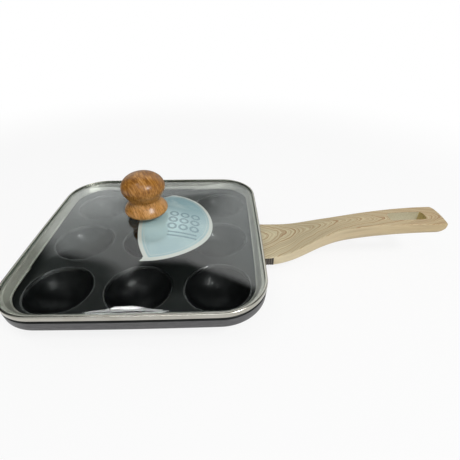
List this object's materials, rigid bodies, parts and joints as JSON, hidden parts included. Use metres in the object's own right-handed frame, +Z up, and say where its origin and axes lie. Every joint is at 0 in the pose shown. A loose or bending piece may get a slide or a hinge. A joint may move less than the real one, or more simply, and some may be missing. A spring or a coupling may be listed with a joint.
{
  "type": "paniyaram_pan",
  "caption": "Square paniyaram pan: round cups in a shallow coated tray, domed glass lid in a steel rim with a turned wooden knob, curved wood-finish handle with a hang slot.",
  "frame": {"origin": "the middle of the flat foot under the centre cup, on the plane that the pan stands on", "axes": "X along the handle, away from the pan; Y to the back; Z up"},
  "size_m": [0.4116, 0.2278, 0.1024],
  "materials": {
    "nonstick_coating": "black nonstick coating on cast aluminium, dull, finely textured outside",
    "dark_steel": "dark browned steel, dull",
    "pale_wood_finish": "pale beige wood with brown arched grain, satin",
    "stainless_steel": "bright stainless steel, finely brushed",
    "tempered_glass": "clear tempered glass",
    "varnished_wood": "orange-brown turned wood under glossy varnish",
    "brass": "plain turned brass",
    "grey_silicone": "dark grey silicone, matt",
    "pale_blue_card": "pale blue printed card with a white border"
  },
  "bodies": {
    "pan": {"pan_body": "nonstick_coating", "flame_guard": "dark_steel", "handle_grip": "pale_wood_finish", "handle_screw": "stainless_steel", "handle_washer": "stainless_steel"},
    "lid": {"lid_rim": "stainless_steel", "lid_glass": "tempered_glass", "knob": "varnished_wood", "knob_insert": "brass", "knob_gasket": "grey_silicone", "glass_gasket": "grey_silicone", "knob_washer": "stainless_steel", "knob_screw": "stainless_steel", "care_card": "pale_blue_card"}
  },
  "joints": [
    {"name": "lid_lift", "type": "slide", "parent": "pan", "child": "lid", "axis": [0, 0, 1], "range_m": [0, 0.06]}
  ]
}
